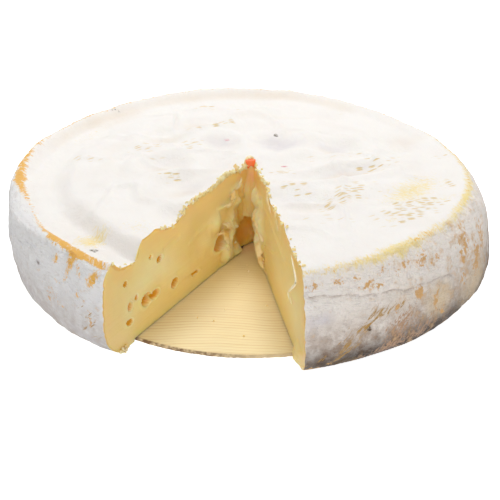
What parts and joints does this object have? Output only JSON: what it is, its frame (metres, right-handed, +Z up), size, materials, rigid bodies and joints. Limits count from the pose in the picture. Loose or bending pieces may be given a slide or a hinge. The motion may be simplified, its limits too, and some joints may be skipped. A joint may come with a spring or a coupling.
{
  "type": "reblochon",
  "caption": "Soft washed-rind mountain cheese, a low round wheel with a wedge cut out, lying on its thin wooden disc.",
  "frame": {"origin": "centre of the wooden disc's underside, where the whole rests", "axes": "+Z up through the middle of the wheel; -Y out of the open wedge; +X to the right as the wedge is looked into"},
  "size_m": [0.1419, 0.1396, 0.0295],
  "materials": {
    "rind": "matt white bloom over an orange washed rind",
    "paste": "moist, slightly waxy ivory-yellow paste",
    "spruce": "bare sawn spruce with fine straight grain",
    "casein": "red, slightly waxy"
  },
  "bodies": {
    "root": {"cheese": "rind", "wooden_disc": "spruce", "casein_mark": "casein"}
  },
  "joints": []
}
